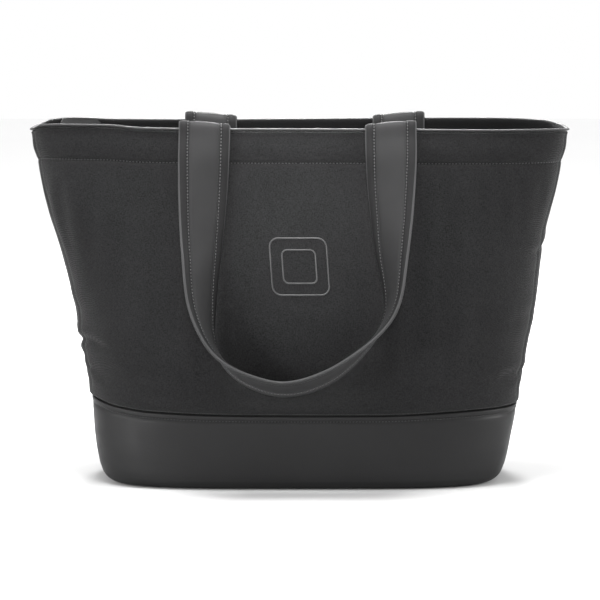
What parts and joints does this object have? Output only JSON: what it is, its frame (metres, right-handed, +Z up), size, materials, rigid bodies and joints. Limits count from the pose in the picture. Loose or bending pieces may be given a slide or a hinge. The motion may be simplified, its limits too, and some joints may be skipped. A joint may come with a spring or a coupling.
{
  "type": "diaper bag",
  "caption": "Dark fabric tote-style changing bag with a rounded leatherette base, strap handles that swing over the rim, and an inside zip closure and pockets.",
  "frame": {"origin": "middle of the flat base, on the surface the bag stands on", "axes": "+X across the bag, +Z up, the front with the emblem faces -Y"},
  "size_m": [0.4782, 0.2688, 0.3152],
  "materials": {
    "body_fabric": "heathered woven polyester, matte",
    "base_leatherette": "fine-grained leatherette, satin",
    "strap_leatherette": "smooth leatherette webbing, satin, stitched hems",
    "binding_tape": "folded edge tape, satin",
    "lining_cloth": "plain woven lining, matte",
    "elastic": "ribbed elastic, matte",
    "stiffener_board": "plain board",
    "emblem_print": "raised soft print, satin",
    "zip_tape": "herringbone zip tape with moulded teeth",
    "zip_metal": "dark nickel, satin"
  },
  "bodies": {
    "bag": {"front_panel": "body_fabric", "back_panel": "body_fabric", "left_side_panel": "body_fabric", "right_side_panel": "body_fabric", "front_base_band": "base_leatherette", "back_base_band": "base_leatherette", "bottom_panel": "base_leatherette", "base_board": "stiffener_board", "lining": "lining_cloth", "top_facing": "body_fabric", "rim_binding": "binding_tape", "front_left_strap_end": "strap_leatherette", "front_right_strap_end": "strap_leatherette", "back_left_strap_end": "strap_leatherette", "back_right_strap_end": "strap_leatherette", "zip_end_tab": "zip_tape", "left_bottle_pocket": "lining_cloth", "right_bottle_pocket": "lining_cloth", "left_pocket_elastic": "elastic", "right_pocket_elastic": "elastic", "slip_pocket": "lining_cloth", "slip_pocket_binding": "binding_tape", "emblem_outer_line": "emblem_print", "emblem_inner_line": "emblem_print"},
    "front_handle": {"front_handle": "strap_leatherette"},
    "back_handle": {"back_handle": "strap_leatherette"},
    "front_zip_flap": {"front_zip_flap": "lining_cloth", "front_zip_tape": "zip_tape"},
    "back_zip_flap": {"back_zip_flap": "lining_cloth", "back_zip_tape": "zip_tape"},
    "zip_slider": {"zip_slider": "zip_metal"},
    "zip_pull": {"zip_pull": "zip_metal"}
  },
  "joints": [
    {"name": "front_handle_swing", "type": "hinge", "parent": "bag", "child": "front_handle", "pos_m": [0, -0.0803, 0.3152], "axis": [-1, 0, 0], "range_deg": [0, 180]},
    {"name": "back_handle_swing", "type": "hinge", "parent": "bag", "child": "back_handle", "pos_m": [0, 0.0803, 0.3152], "axis": [1, 0, 0], "range_deg": [0, 180]},
    {"name": "front_zip_flap_fold", "type": "hinge", "parent": "bag", "child": "front_zip_flap", "pos_m": [0, -0.0673, 0.292], "axis": [1, 0, 0], "range_deg": [0, 90]},
    {"name": "back_zip_flap_fold", "type": "hinge", "parent": "bag", "child": "back_zip_flap", "pos_m": [0, 0.0673, 0.292], "axis": [-1, 0, 0], "range_deg": [0, 90]},
    {"name": "zip_slide", "type": "slide", "parent": "back_zip_flap", "child": "zip_slider", "axis": [1, 0, 0], "range_m": [0, 0.3]},
    {"name": "zip_pull_flip", "type": "hinge", "parent": "zip_slider", "child": "zip_pull", "pos_m": [-0.15, 0.0626, 0.2247], "axis": [0, 0, 1], "range_deg": [0, 180]}
  ]
}
